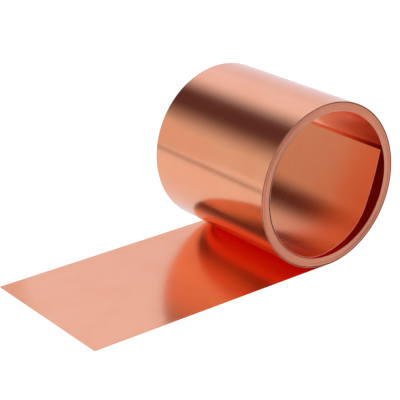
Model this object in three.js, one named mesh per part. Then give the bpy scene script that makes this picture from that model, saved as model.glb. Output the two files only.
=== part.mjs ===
// A roll of bare copper strip standing open on its edge-on side: one long strip of foil, wound on
// itself without a core, with its outer end rolled out flat and its inner end loose in the bore.
// Millimetres. +Z is up and +X runs along the roll's axis. The outer end lies along -Y.
// The origin is on the floor, under the middle of the roll's axis.
import * as THREE from 'three';

// Driving dimensions.
const STRIP_WIDTH = 100;
const STRIP_THICKNESS = 0.2;
const ROLL_RADIUS = 49.7;
const TURN_PITCH = 0.24;            // strip and the air that a turn traps under the next one
const WOUND_TURNS = 20;             // whole turns between the outer turn and the inner turn
const RUNNING_STEP = 0.7;           // from the outer turn down to the turns that run inside it
const TAIL_LENGTH = 162.7;          // from the contact line to the cut end
const TAIL_END_LENGTH = 45;         // the part of the tail that lifts by hand
const SPLIT_GAP = 0.3;              // between two lengths of the strip, end to end
const FACETS = 48;                  // flats in one turn

// The inner turn lets go of the pack over its last half, then the loose end springs off it.
const LOOSE_FROM = 100;             // degrees round the roll, counted from +Y towards +Z
const LOOSE_FULL = 180;
const LOOSE_GAP = 0.6;
const INNER_TURN_END = 242;
const SPRUNG_BENDS = [
  { radius: 28.5, turn: 27.7 },
  { radius: 43.5, turn: 32.6 },
  { radius: 33, turn: 31.1 },
  { radius: 170, turn: 11.7 },
];
const BEND_STEP = 7.5;              // degrees of a bend in one flat

const COPPER_OUTSIDE = 0xd8906f;
const COPPER_INSIDE = 0xc4683f;
const COPPER_EDGE = 0xc87a58;

const FACET_ANGLE = 360 / FACETS;
// The middle of the first flat is straight below the axis, so the roll stands on that flat.
const START_ANGLE = -90 - FACET_ANGLE / 2;
const FLAT_TO_CORNER = 1 / Math.cos(THREE.MathUtils.degToRad(FACET_ANGLE / 2));
const FLAT_LENGTH = 2 * ROLL_RADIUS * Math.tan(THREE.MathUtils.degToRad(FACET_ANGLE / 2));

// A point of the roll's section, as Vector2(y, z) from the roll's axis.
function around(radius, degrees) {
  const angle = THREE.MathUtils.degToRad(degrees);
  return new THREE.Vector2(radius * Math.cos(angle), radius * Math.sin(angle));
}

// The two faces of one turn of a spiral. inset(degrees) is how far the strip stands off it inwards.
function spiralFaces(startRadius, facets, inset = () => 0) {
  const outer = [];
  const inner = [];
  for (let i = 0; i <= facets; i += 1) {
    const degrees = START_ANGLE + i * FACET_ANGLE;
    const radius = startRadius - TURN_PITCH * i / FACETS - inset(degrees);
    outer.push(around(radius * FLAT_TO_CORNER, degrees));
    inner.push(around((radius - STRIP_THICKNESS) * FLAT_TO_CORNER, degrees));
  }
  return { outer, inner };
}

// Cuts a little off the first flat, so that this length of strip clears the one before it.
function trimStart({ outer, inner }, length = SPLIT_GAP) {
  for (const face of [outer, inner]) {
    face[0].lerp(face[1], length / face[0].distanceTo(face[1]));
  }
  return { outer, inner };
}

// The two faces of a strip that leaves a point in a direction and follows one bend after another.
function bentFaces(start, startDegrees, bends) {
  const half = STRIP_THICKNESS / 2;
  const outer = [];
  const inner = [];
  const point = start.clone();
  let heading = startDegrees;
  const mark = () => {
    const side = around(half, heading + 90);
    outer.push(point.clone().sub(side));
    inner.push(point.clone().add(side));
  };
  mark();
  for (const { radius, turn } of bends) {
    const steps = Math.ceil(turn / BEND_STEP * Math.max(1, radius / ROLL_RADIUS));
    const chord = 2 * radius * Math.sin(THREE.MathUtils.degToRad(turn / steps / 2));
    for (let i = 0; i < steps; i += 1) {
      point.add(around(chord, heading + turn / steps / 2));
      heading += turn / steps;
      mark();
    }
  }
  return { outer, inner };
}

// A length of strip: the section between its two faces, drawn out to the strip's width along X.
function stripMesh(name, { outer, inner }, color, height = ROLL_RADIUS) {
  const section = new THREE.Shape([...outer, ...inner.slice().reverse()]);
  const geometry = new THREE.ExtrudeGeometry(section, { depth: STRIP_WIDTH, bevelEnabled: false });
  // The section's own x, y and depth become Y, Z and X.
  const turned = new THREE.Matrix4().makeBasis(
    new THREE.Vector3(0, 1, 0),
    new THREE.Vector3(0, 0, 1),
    new THREE.Vector3(1, 0, 0),
  );
  geometry.applyMatrix4(turned);
  const material = new THREE.MeshStandardMaterial({ color, roughness: 0.22, metalness: 1 });
  const mesh = new THREE.Mesh(geometry, material);
  mesh.name = name;
  mesh.position.set(-STRIP_WIDTH / 2, 0, height);
  return mesh;
}

// A flat length of strip on the floor, from one Y to another.
function flatMesh(name, fromY, toY, color) {
  const outer = [new THREE.Vector2(fromY, 0), new THREE.Vector2(toY, 0)];
  const inner = [new THREE.Vector2(fromY, STRIP_THICKNESS), new THREE.Vector2(toY, STRIP_THICKNESS)];
  return stripMesh(name, { outer, inner }, color, 0);
}

function tail() {
  const liftLine = TAIL_END_LENGTH - TAIL_LENGTH;
  const rollFoot = -FLAT_LENGTH / 2 - SPLIT_GAP;
  return [
    flatMesh('tail_end', -TAIL_LENGTH, liftLine - SPLIT_GAP, COPPER_OUTSIDE),
    flatMesh('tail_sheet', liftLine, rollFoot, COPPER_OUTSIDE),
  ];
}

function woundTurns() {
  const turns = [stripMesh('outer_turn', spiralFaces(ROLL_RADIUS, FACETS), COPPER_OUTSIDE)];
  for (let i = 0; i < WOUND_TURNS; i += 1) {
    const number = String(i + 2).padStart(2, '0');
    const radius = ROLL_RADIUS - RUNNING_STEP - TURN_PITCH * i;
    turns.push(stripMesh(`wound_turn_${number}`, trimStart(spiralFaces(radius, FACETS)), COPPER_EDGE));
  }
  return turns;
}

function looseInset(degrees) {
  return LOOSE_GAP * THREE.MathUtils.smoothstep(degrees, LOOSE_FROM, LOOSE_FULL);
}

function innerTurn() {
  const radius = ROLL_RADIUS - RUNNING_STEP - TURN_PITCH * WOUND_TURNS;
  const facets = Math.round((INNER_TURN_END - START_ANGLE) / FACET_ANGLE);
  const faces = trimStart(spiralFaces(radius, facets, looseInset));
  const start = faces.outer[facets].clone().add(faces.inner[facets]).multiplyScalar(0.5);
  const heading = START_ANGLE + facets * FACET_ANGLE + 90;
  const loose = trimStart(bentFaces(start, heading, SPRUNG_BENDS));
  return [
    stripMesh('inner_turn', faces, COPPER_INSIDE),
    stripMesh('inner_end', loose, COPPER_INSIDE),
  ];
}

const roll = new THREE.Group();
roll.add(...tail(), ...woundTurns(), ...innerTurn());

export default roll;
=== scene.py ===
"""A roll of bare copper foil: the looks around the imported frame. Metres, +Z up, the roll's axis along X."""

import math

import bpy
import numpy as np
from mathutils import Matrix, Vector, noise


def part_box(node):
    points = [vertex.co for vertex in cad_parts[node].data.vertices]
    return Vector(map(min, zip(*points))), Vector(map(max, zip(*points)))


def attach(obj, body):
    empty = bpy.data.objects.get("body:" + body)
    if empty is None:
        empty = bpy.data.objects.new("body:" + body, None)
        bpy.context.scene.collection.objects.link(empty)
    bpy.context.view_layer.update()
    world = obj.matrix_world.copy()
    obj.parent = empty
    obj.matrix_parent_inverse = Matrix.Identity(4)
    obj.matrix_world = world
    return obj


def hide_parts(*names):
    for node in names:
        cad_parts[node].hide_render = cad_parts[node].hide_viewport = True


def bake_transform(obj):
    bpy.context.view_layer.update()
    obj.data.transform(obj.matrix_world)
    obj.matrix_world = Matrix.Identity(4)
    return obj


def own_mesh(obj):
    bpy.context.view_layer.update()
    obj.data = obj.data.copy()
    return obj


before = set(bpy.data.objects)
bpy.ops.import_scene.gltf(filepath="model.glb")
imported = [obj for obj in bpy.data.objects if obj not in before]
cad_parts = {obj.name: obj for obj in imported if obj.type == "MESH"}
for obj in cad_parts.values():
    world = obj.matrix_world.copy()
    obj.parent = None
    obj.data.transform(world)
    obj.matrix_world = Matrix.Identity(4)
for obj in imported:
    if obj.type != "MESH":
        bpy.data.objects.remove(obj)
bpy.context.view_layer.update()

# The strip, as the CAD model has it.
WIDTH = 0.100
THICKNESS = 0.0002
RADIUS = 0.0497
PITCH = 0.00024
WOUND_TURNS = 20
RUNNING_STEP = 0.0007
AXIS_HEIGHT = RADIUS
TAIL_END_LENGTH = 0.045
TAIL_LENGTH = -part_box("tail_end")[0].y
LIFT_LINE = TAIL_END_LENGTH - TAIL_LENGTH

# The turns start where the roll touches the floor. The inner one lets go of the pack between two
# angles, and ends at a third. All are degrees round the roll, from +Y towards +Z.
START_ANGLE = -90
LOOSE_FROM = 100
LOOSE_FULL = 180
LOOSE_GAP = 0.0006
INNER_TURN_END = 243.75

# The loose inner end: its bends, each a radius and the degrees it turns through, its length, and
# how far the far corner of its tip leans over.
SPRUNG_BENDS = ((0.0285, 27.7), (0.0435, 32.6), (0.033, 31.1), (0.170, 11.7))
SPRUNG_LENGTH = 0.091
LEAN = 0.0016

# How finely the strip is meshed: degrees along a turn, cells across it, metres along the tail;
# then how far its edges are rounded, and the degrees from which a fold shades sharp.
SHOWN_STEP = 1.0
HIDDEN_STEP = 2.0
WIDE_CELLS = 24
TAIL_CELL = 0.003
EDGE_ROUNDING = 0.00004
SHARP_ANGLE = 30

# The strip's unevenness: waves a metre along and across it, and their height; then how far the
# wound turns stand out of the roll's ends.
SLOW_WAVES = (22, 14)
SLOW_SEED = 3.0
FAST_WAVES = (60, 35)
FAST_SEED = 10.0
FAST_SHARE = 0.3
WAVINESS = 0.00003
SHIFT_REACH = 0.0004
SHIFT_STEP = 0.9
SHIFT_SEED = 4.2

# The metal's colours.
COPPER = (1.0, 0.385, 0.195)
TARNISH = (0.985, 0.33, 0.155)
# The free inner end's two faces are darker copper than the roll: painted shade of the bore they sit in.
INNER_END_SHADE = (0.80, 0.24, 0.10)
INNER_BACK_SHADE = (0.86, 0.32, 0.17)
EDGE_BRIGHT = (1.0, 0.47, 0.28)
EDGE_DULL = (0.86, 0.28, 0.15)

# Each face's roughness and anisotropy.
OUT_ROUGH = 0.15
OUT_ANISO = 0.2
IN_ROUGH = 0.18
IN_ANISO = 0.3
INNER_END_ROUGH = 0.24
INNER_END_ANISO = 0.5

# The surface's noises: cycles a metre along and across the strip, and cycles from the middle of its
# thickness to a face.
GRAIN = (6, 700, 0)
HAZE = (34, 42, 0)
CLOUDS = (11, 17, 0)
CHATTER = (260, 5, 0)
SHEAR_MARKS = (900, 0, 1.5)
EDGE_PATCHES = (1.6, 0, 0)

# The part of each noise that counts, and what it does to the surface.
NOISE_RANGE = (0.3, 0.7)
HAZE_RANGE = (0.42, 0.72)
CLOUD_RANGE = (0.35, 0.7)
TARNISHED = (0.0, 0.6)
GRAIN_ROUGHNESS = 0.02
CLOUD_ROUGHNESS = (0.0, 0.03)
EDGE_DULLED = (0.1, 0.9)
EDGE_ROUGHNESS = (0.38, 0.58)
GRAIN_HEIGHT = 0.000002
GRAIN_STRENGTH = 0.3
CHATTER_HEIGHT = 0.000018
MARK_HEIGHT = 0.00001
MARK_STRENGTH = 0.4

# The floor, just under the roll, and the darker seam across it in front.
FLOOR_SIZE = 5.0
FLOOR_HEIGHT = -0.00003
FLOOR_ALBEDO = (0.22, 0.22, 0.22)
FLOOR_GLOW = (0.72, 0.83, 0.95)
FLOOR_SEEN = (0.96, 0.96, 0.96)
SEAM_Y = -0.32
SEAM_HALF = 0.05
SEAM_FADE = 0.03
SEAM_DARK = 0.42

# The card beyond the roll's far end.
CARD = (0.74, 0.78, 0.86)
CARD_X = -0.15
CARD_Y = (-0.19, -0.092)
CARD_Z = (0.05, 0.12)

# The light tent by the angle about the roll's axis, from +Y up and over to -Y: a wall behind, a
# bright top, a dark gap where the tent opens, and a wall in front.
BACK_WALL = (0.53, 0.63, 0.78)
BRIGHT_TOP = (0.57, 0.73, 0.97)
DARK_GAP = (0.07, 0.04, 0.045)
FRONT_WALL = (0.48, 0.55, 0.60)
TENT = (
    (0, BACK_WALL), (35, BACK_WALL), (50, BRIGHT_TOP), (68, BRIGHT_TOP),
    (103, DARK_GAP), (118, DARK_GAP), (160, FRONT_WALL), (180, FRONT_WALL),
)
TENT_STRENGTH = 1.5
TENT_SEEN = (1, 1, 1)

# The camera: degrees round from -Y, up and rolled, then metres, then millimetres.
AZIMUTH = 53.69
ELEVATION = 22.55
ROLL = -1.87
TARGET = (-0.0051, -0.0509, 0.0376)
DISTANCE = 0.8207
SENSOR_WIDTH = 36
LENS = 126.5

MAX_BOUNCES = 24
GLOSSY_BOUNCES = 20

OUTER_SLOT, INNER_SLOT, EDGE_SLOT = range(3)


# --- paths along the strip -------------------------------------------------------------------

def around(radius, degrees):
    """A point of the section, as (y, z) from the roll's axis."""
    angle = math.radians(degrees)
    return np.array((radius * math.cos(angle), radius * math.sin(angle)))


def spiral_path(start_radius, end_angle=START_ANGLE + 360, step=HIDDEN_STEP, inset=None):
    """The middle of the strip along a turn: points, and the unit vectors towards the axis."""
    count = round((end_angle - START_ANGLE) / step)
    points, inward = [], []
    for angle in np.linspace(START_ANGLE, end_angle, count + 1):
        radius = start_radius - PITCH * (angle - START_ANGLE) / 360 - THICKNESS / 2
        if inset:
            radius -= inset(angle)
        points.append(around(radius, angle) + (0, AXIS_HEIGHT))
        inward.append(-around(1, angle))
    return np.array(points), np.array(inward)


def smoothstep(value, low, high):
    """A share that eases from 0 to 1 between two values."""
    share = min(1.0, max(0.0, (value - low) / (high - low)))
    return share * share * (3 - 2 * share)


def loose_inset(angle):
    """How far the inner turn has let go of the pack."""
    return LOOSE_GAP * smoothstep(angle, LOOSE_FROM, LOOSE_FULL)


def bent_path(start, heading, bends):
    """A strip that leaves a point in a direction and follows one bend after another."""
    points, inward = [np.array(start)], [around(1, heading + 90)]
    for radius, turn in bends:
        steps = math.ceil(turn / SHOWN_STEP * max(1, radius / RADIUS))
        chord = 2 * radius * math.sin(math.radians(turn / steps / 2))
        for _ in range(steps):
            points.append(points[-1] + around(chord, heading + turn / steps / 2))
            heading += turn / steps
            inward.append(around(1, heading + 90))
    return np.array(points), np.array(inward)


def flat_path(from_y, to_y):
    """A flat length on the floor; its upper face is the one that runs on into the bore side."""
    count = math.ceil((to_y - from_y) / TAIL_CELL)
    points = [(y, THICKNESS / 2) for y in np.linspace(from_y, to_y, count + 1)]
    return np.array(points), np.tile((0.0, 1.0), (count + 1, 1))


# --- the strip as a mesh ---------------------------------------------------------------------

def section(cells, shift):
    """The strip's section as (x, depth) points, depth from -1 on the outside to 1 on the inside."""
    half = WIDTH / 2
    corner = 1 - 2 * EDGE_ROUNDING / THICKNESS
    across = np.linspace(-half + EDGE_ROUNDING, half - EDGE_ROUNDING, cells + 1)
    outside = [(x + shift, -1.0) for x in across]
    inside = [(x + shift, 1.0) for x in across[::-1]]
    right = [(half + shift, -corner), (half + shift, corner)]
    left = [(-half + shift, corner), (-half + shift, -corner)]
    return outside + right + inside + left


def ripple(along, across, height):
    """The slight unevenness of rolled strip, as a height off its path."""
    slow = noise.noise(Vector((along * SLOW_WAVES[0], across * SLOW_WAVES[1], SLOW_SEED)))
    fast = noise.noise(Vector((along * FAST_WAVES[0], across * FAST_WAVES[1], FAST_SEED)))
    return height * (slow + FAST_SHARE * fast)


def strip_points(path, ring, along, waviness, lift):
    """The mesh's points, where each lies on the strip, and how far along the strip they end."""
    points, inward = path
    step = np.linalg.norm(np.diff(points, axis=0), axis=1)
    travelled = along + np.concatenate(([0.0], np.cumsum(step)))
    verts, coords = [], []
    for point, inside, distance in zip(points, inward, travelled):
        for x, depth in ring:
            off = ripple(distance, x, waviness) if waviness else 0.0
            if lift:
                off += lift(distance, x)
            y, z = point + inside * (depth * THICKNESS / 2 + off)
            verts.append((x, y, z))
            coords.append((distance, x, depth))
    return verts, coords, travelled[-1]


def face_slot(j, cells):
    """The material of the section's j-th side: its outside, an edge, its inside, the other edge."""
    if j < cells:
        return OUTER_SLOT
    return INNER_SLOT if cells + 3 <= j < 2 * cells + 3 else EDGE_SLOT


def strip_faces(size, count, cells):
    """The faces of a closed strip, from count sections of size points, and their material slots."""
    faces, slots = [], []
    for i in range(count - 1):
        for j in range(size):
            k = (j + 1) % size
            faces.append((i * size + j, i * size + k, (i + 1) * size + k, (i + 1) * size + j))
            slots.append(face_slot(j, cells))
    faces.append(tuple(range(size))[::-1])
    faces.append(tuple((count - 1) * size + j for j in range(size)))
    slots += [EDGE_SLOT, EDGE_SLOT]
    return faces, slots


def add_strip_coordinates(mesh, coords):
    """Where each point lies on the strip, and a UV map whose U runs across it."""
    strip = mesh.attributes.new("strip", "FLOAT_VECTOR", "POINT")
    strip.data.foreach_set("vector", coords.ravel())
    corners = np.empty(len(mesh.loops), np.int32)
    mesh.loops.foreach_get("vertex_index", corners)
    across = mesh.uv_layers.new(name="across")
    across.data.foreach_set("uv", coords[corners][:, [1, 0]].ravel())


def strip_piece(
    name, path, body, along=0.0, cells=1, shift=0.0, waviness=0.0, lift=None, bore_shaded=False
):
    """One length of strip as a closed mesh on its body, standing for the CAD node of its name."""
    ring = section(cells, shift)
    verts, coords, end = strip_points(path, ring, along, waviness, lift)
    faces, slots = strip_faces(len(ring), len(path[0]), cells)
    mesh = bpy.data.meshes.new(name + "_mesh")
    mesh.from_pydata(verts, [], faces)
    # The free inner end takes darker copper on both faces: painted shade of the bore.
    both_faces = (shaded_inner_back(), shaded_inner_face()) if bore_shaded else (outer_face(), inner_face())
    for material in (*both_faces, slit_edge()):
        mesh.materials.append(material)
    mesh.polygons.foreach_set("material_index", slots)
    mesh.polygons.foreach_set("use_smooth", [True] * len(faces))
    add_strip_coordinates(mesh, np.array(coords, np.float32))
    mesh.set_sharp_from_angle(angle=math.radians(SHARP_ANGLE))
    mesh.update()
    piece = bpy.data.objects.new(name + "_foil", mesh)
    bpy.context.scene.collection.objects.link(piece)
    if body:
        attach(piece, body)
    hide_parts(name)
    return piece, end


# --- materials -------------------------------------------------------------------------------

def new_material(name):
    """A material, with its nodes and links."""
    material = bpy.data.materials.new(name)
    material.use_nodes = True
    return material, material.node_tree.nodes, material.node_tree.links


def strip_noise(nodes, links, cycles, detail, roughness=0.5):
    """A noise that lies along the strip, with its cycles along, across and through it."""
    source = nodes.new("ShaderNodeAttribute")
    source.attribute_name = "strip"
    stretch = nodes.new("ShaderNodeVectorMath")
    stretch.operation = "MULTIPLY"
    stretch.inputs[1].default_value = cycles
    texture = nodes.new("ShaderNodeTexNoise")
    texture.inputs["Scale"].default_value = 1.0
    texture.inputs["Detail"].default_value = detail
    texture.inputs["Roughness"].default_value = roughness
    links.new(source.outputs["Vector"], stretch.inputs[0])
    links.new(stretch.outputs["Vector"], texture.inputs["Vector"])
    return texture.outputs["Fac"]


def remap(nodes, links, value, low, high, to_low, to_high):
    """A value carried over from one range to another, and kept inside it."""
    node = nodes.new("ShaderNodeMapRange")
    node.inputs["From Min"].default_value = low
    node.inputs["From Max"].default_value = high
    node.inputs["To Min"].default_value = to_low
    node.inputs["To Max"].default_value = to_high
    links.new(value, node.inputs["Value"])
    return node.outputs["Result"]


def math_node(nodes, links, operation, first, second):
    """One operation on two values, each a number or a socket."""
    node = nodes.new("ShaderNodeMath")
    node.operation = operation
    for socket, value in zip(node.inputs, (first, second)):
        if isinstance(value, (int, float)):
            socket.default_value = value
        else:
            links.new(value, socket)
    return node.outputs["Value"]


def mix_colour(nodes, links, share, first, second):
    """A colour between two others, by a share."""
    node = nodes.new("ShaderNodeMix")
    node.data_type = "RGBA"
    node.inputs["A"].default_value = (*first, 1)
    node.inputs["B"].default_value = (*second, 1)
    links.new(share, node.inputs["Factor"])
    return node.outputs["Result"]


def bump(nodes, links, height, distance, strength=1.0, under=None):
    """A bump, on top of another one if there is one under it."""
    node = nodes.new("ShaderNodeBump")
    node.inputs["Distance"].default_value = distance
    node.inputs["Strength"].default_value = strength
    links.new(height, node.inputs["Height"])
    if under:
        links.new(under, node.inputs["Normal"])
    return node.outputs["Normal"]


made = {}


def rolled_face(name, colour, roughness, anisotropy):
    """Bright rolled copper: mill lines along it, faint chatter across it, haze and a little tarnish."""
    if name in made:
        return made[name]
    material, nodes, links = new_material(name)
    shader = nodes["Principled BSDF"]
    shader.inputs["Metallic"].default_value = 1.0
    shader.inputs["Anisotropic"].default_value = anisotropy
    tangent = nodes.new("ShaderNodeTangent")
    tangent.direction_type = "UV_MAP"
    tangent.uv_map = "across"
    links.new(tangent.outputs["Tangent"], shader.inputs["Tangent"])
    grain = strip_noise(nodes, links, GRAIN, detail=3)
    haze = strip_noise(nodes, links, HAZE, detail=5, roughness=0.6)
    clouds = strip_noise(nodes, links, CLOUDS, detail=1)
    chatter = strip_noise(nodes, links, CHATTER, detail=3)
    tarnished = remap(nodes, links, haze, *HAZE_RANGE, *TARNISHED)
    darker = tuple(a * b / c for a, b, c in zip(colour, TARNISH, COPPER))
    links.new(mix_colour(nodes, links, tarnished, colour, darker), shader.inputs["Base Color"])
    finest = roughness - GRAIN_ROUGHNESS
    coarsest = roughness + GRAIN_ROUGHNESS
    base = remap(nodes, links, grain, *NOISE_RANGE, finest, coarsest)
    clouded = remap(nodes, links, clouds, *CLOUD_RANGE, *CLOUD_ROUGHNESS)
    links.new(math_node(nodes, links, "ADD", base, clouded), shader.inputs["Roughness"])
    fine = bump(nodes, links, grain, GRAIN_HEIGHT, GRAIN_STRENGTH)
    wide = bump(nodes, links, chatter, CHATTER_HEIGHT, under=fine)
    links.new(wide, shader.inputs["Normal"])
    made[name] = material
    return material


def outer_face():
    """The brighter side, which is outside on the roll and underneath on the tail."""
    return rolled_face("bright_copper_face", COPPER, OUT_ROUGH, OUT_ANISO)


def inner_face():
    """The side towards the bore, with the softer shine of foil rolled two at a time."""
    return rolled_face("satin_copper_face", COPPER, IN_ROUGH, IN_ANISO)


def shaded_inner_back():
    """The back of the free inner end, a little darker than the roll's outside as painted shade of the bore.
    """
    return rolled_face("copper_back_painted_shade", INNER_BACK_SHADE, OUT_ROUGH, OUT_ANISO)


def shaded_inner_face():
    """The free inner end, darker than the roll as painted shade of the bore."""
    return rolled_face("copper_face_painted_shade", INNER_END_SHADE, INNER_END_ROUGH, INNER_END_ANISO)


def slit_edge():
    """The slit edge: duller in patches, with the shear's short marks along it."""
    if "edge" in made:
        return made["edge"]
    material, nodes, links = new_material("slit_copper_edge")
    shader = nodes["Principled BSDF"]
    shader.inputs["Metallic"].default_value = 1.0
    marks = strip_noise(nodes, links, SHEAR_MARKS, detail=2)
    patches = strip_noise(nodes, links, EDGE_PATCHES, detail=5, roughness=0.65)
    dulled = remap(nodes, links, patches, *NOISE_RANGE, *EDGE_DULLED)
    colour = mix_colour(nodes, links, dulled, EDGE_BRIGHT, EDGE_DULL)
    roughness = remap(nodes, links, marks, *NOISE_RANGE, *EDGE_ROUGHNESS)
    links.new(colour, shader.inputs["Base Color"])
    links.new(roughness, shader.inputs["Roughness"])
    links.new(bump(nodes, links, marks, MARK_HEIGHT, MARK_STRENGTH), shader.inputs["Normal"])
    made["edge"] = material
    return material


def glow_material(name, colour):
    """A material that only gives light, and its emission node."""
    material, nodes, links = new_material(name)
    nodes.remove(nodes["Principled BSDF"])
    glow = nodes.new("ShaderNodeEmission")
    glow.inputs["Color"].default_value = (*colour, 1)
    links.new(glow.outputs[0], nodes["Material Output"].inputs["Surface"])
    return material, glow


# --- the pieces ------------------------------------------------------------------------------

def make_tail():
    """The flat outer end and the flat length behind it; returns how far along the strip they end."""
    end, along = strip_piece(
        "tail_end", flat_path(-TAIL_LENGTH, LIFT_LINE), None, cells=WIDE_CELLS
    )
    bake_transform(end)
    sheet, along = strip_piece(
        "tail_sheet", flat_path(LIFT_LINE, 0.0), "tail", along, cells=WIDE_CELLS
    )
    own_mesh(sheet)
    return along


def axial_shift(turn):
    """How far a turn stands out of the roll's end, from winding by hand."""
    return SHIFT_REACH * noise.noise(Vector((turn * SHIFT_STEP, SHIFT_SEED, 0.0)))


def make_inner_end(start, along):
    """The loose inner end, which springs off the inner turn into the bore and leans to one side."""
    path = bent_path(start, INNER_TURN_END + 90, SPRUNG_BENDS)

    def lean(distance, x):
        """A point's offset towards the axis: below zero, and most so at the tip's far corner."""
        share = (distance - along) / SPRUNG_LENGTH
        return -LEAN * share ** 2 * (0.5 - x / WIDTH)

    # Its darker copper is painted shade of the bore.
    end, _ = strip_piece(
        "inner_end", path, None, along, cells=WIDE_CELLS, waviness=WAVINESS, lift=lean,
        bore_shaded=True,
    )
    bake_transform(end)


def make_roll(along):
    """The turns from the outermost to the innermost, then the loose inner end."""
    _, along = strip_piece(
        "outer_turn", spiral_path(RADIUS, step=SHOWN_STEP), "outer", along,
        cells=WIDE_CELLS, waviness=WAVINESS,
    )
    for i in range(WOUND_TURNS):
        radius = RADIUS - RUNNING_STEP - PITCH * i
        _, along = strip_piece(
            f"wound_turn_{i + 2:02d}", spiral_path(radius), "coil", along,
            shift=axial_shift(i),
        )
    radius = RADIUS - RUNNING_STEP - PITCH * WOUND_TURNS
    path = spiral_path(radius, INNER_TURN_END, SHOWN_STEP, loose_inset)
    _, along = strip_piece(
        "inner_turn", path, "coil", along, cells=WIDE_CELLS, waviness=WAVINESS
    )
    make_inner_end(path[0][-1], along)


# --- the studio ------------------------------------------------------------------------------

def floor_material():
    """White to the camera; to everything else a lit sweep with a darker seam in front."""
    material, glow = glow_material("white_sweep", FLOOR_GLOW)
    nodes, links = material.node_tree.nodes, material.node_tree.links
    coords = nodes.new("ShaderNodeTexCoord")
    parts = nodes.new("ShaderNodeSeparateXYZ")
    links.new(coords.outputs["Object"], parts.inputs[0])
    away = math_node(nodes, links, "SUBTRACT", parts.outputs["Y"], SEAM_Y)
    away = math_node(nodes, links, "ABSOLUTE", away, 0)
    seam = remap(nodes, links, away, SEAM_HALF, SEAM_HALF + SEAM_FADE, SEAM_DARK, 1.0)
    path = nodes.new("ShaderNodeLightPath")
    seen = path.outputs["Is Camera Ray"]
    links.new(mix_colour(nodes, links, seen, FLOOR_GLOW, FLOOR_SEEN), glow.inputs["Color"])
    links.new(math_node(nodes, links, "MAXIMUM", seam, seen), glow.inputs["Strength"])
    diffuse = nodes.new("ShaderNodeBsdfDiffuse")
    diffuse.inputs["Color"].default_value = (*FLOOR_ALBEDO, 1)
    both = nodes.new("ShaderNodeAddShader")
    links.new(diffuse.outputs[0], both.inputs[0])
    links.new(glow.outputs[0], both.inputs[1])
    links.new(both.outputs[0], nodes["Material Output"].inputs["Surface"])
    return material


def stage_quad(name, corners, material):
    """A four-cornered sheet of the studio, which isn't part of the roll."""
    mesh = bpy.data.meshes.new(name + "_mesh")
    mesh.from_pydata(corners, [], [(0, 1, 2, 3)])
    mesh.materials.append(material)
    quad = bpy.data.objects.new(name, mesh)
    bpy.context.scene.collection.objects.link(quad)
    return quad


def make_floor():
    """The level sweep that the roll stands on."""
    size, z = FLOOR_SIZE, FLOOR_HEIGHT
    stage_quad(
        "floor",
        [(-size, -size, z), (size, -size, z), (size, size, z), (-size, size, z)],
        floor_material(),
    )


def make_card():
    """A low pale card beyond the roll's far end, which lights the nip and isn't seen itself."""
    near, far = CARD_Y
    low, high = CARD_Z
    material, _ = glow_material("white_card", CARD)
    card = stage_quad(
        "card",
        [(CARD_X, near, low), (CARD_X, far, low), (CARD_X, far, high), (CARD_X, near, high)],
        material,
    )
    card.visible_camera = False
    card.visible_diffuse = False
    card.visible_shadow = False


def make_world():
    """The light tent, which is plain white where the camera looks straight at it."""
    world = bpy.data.worlds.new("light_tent")
    world.use_nodes = True
    bpy.context.scene.world = world
    nodes, links = world.node_tree.nodes, world.node_tree.links
    background = nodes["Background"]
    coords = nodes.new("ShaderNodeTexCoord")
    parts = nodes.new("ShaderNodeSeparateXYZ")
    links.new(coords.outputs["Generated"], parts.inputs[0])
    angle = math_node(nodes, links, "ARCTAN2", parts.outputs["Z"], parts.outputs["Y"])
    share = remap(nodes, links, angle, 0, math.pi, 0, 1)
    ramp = nodes.new("ShaderNodeValToRGB")
    links.new(share, ramp.inputs["Fac"])
    ramp.color_ramp.interpolation = "EASE"
    stops = ramp.color_ramp.elements
    while len(stops) < len(TENT):
        stops.new(0.5)
    for stop, (degrees, colour) in zip(stops, TENT):
        stop.position = degrees / 180
        stop.color = (*colour, 1)
    path = nodes.new("ShaderNodeLightPath")
    seen = nodes.new("ShaderNodeMix")
    seen.data_type = "RGBA"
    links.new(path.outputs["Is Camera Ray"], seen.inputs["Factor"])
    links.new(ramp.outputs["Color"], seen.inputs["A"])
    seen.inputs["B"].default_value = (*TENT_SEEN, 1)
    links.new(seen.outputs["Result"], background.inputs["Color"])
    background.inputs["Strength"].default_value = TENT_STRENGTH


def make_camera():
    """The photograph's view, framed without a shift."""
    azimuth, elevation, roll = (math.radians(a) for a in (AZIMUTH, ELEVATION, ROLL))
    back = Vector((
        math.sin(azimuth) * math.cos(elevation),
        -math.cos(azimuth) * math.cos(elevation),
        math.sin(elevation),
    ))
    camera = bpy.data.objects.new("camera", bpy.data.cameras.new("camera"))
    bpy.context.scene.collection.objects.link(camera)
    place = Matrix.Translation(Vector(TARGET) + back * DISTANCE)
    turn = back.to_track_quat("Z", "Y").to_matrix() @ Matrix.Rotation(roll, 3, "Z")
    camera.matrix_world = place @ turn.to_4x4()
    camera.data.sensor_width = SENSOR_WIDTH
    camera.data.lens = LENS
    bpy.context.scene.camera = camera


def set_picture():
    """Plain colours, and enough bounces for the light between the strip's facing sides."""
    scene = bpy.context.scene
    scene.view_settings.view_transform = "Standard"
    scene.cycles.max_bounces = MAX_BOUNCES
    scene.cycles.glossy_bounces = GLOSSY_BOUNCES


make_camera()
make_world()
make_floor()
make_card()
set_picture()
make_roll(make_tail())
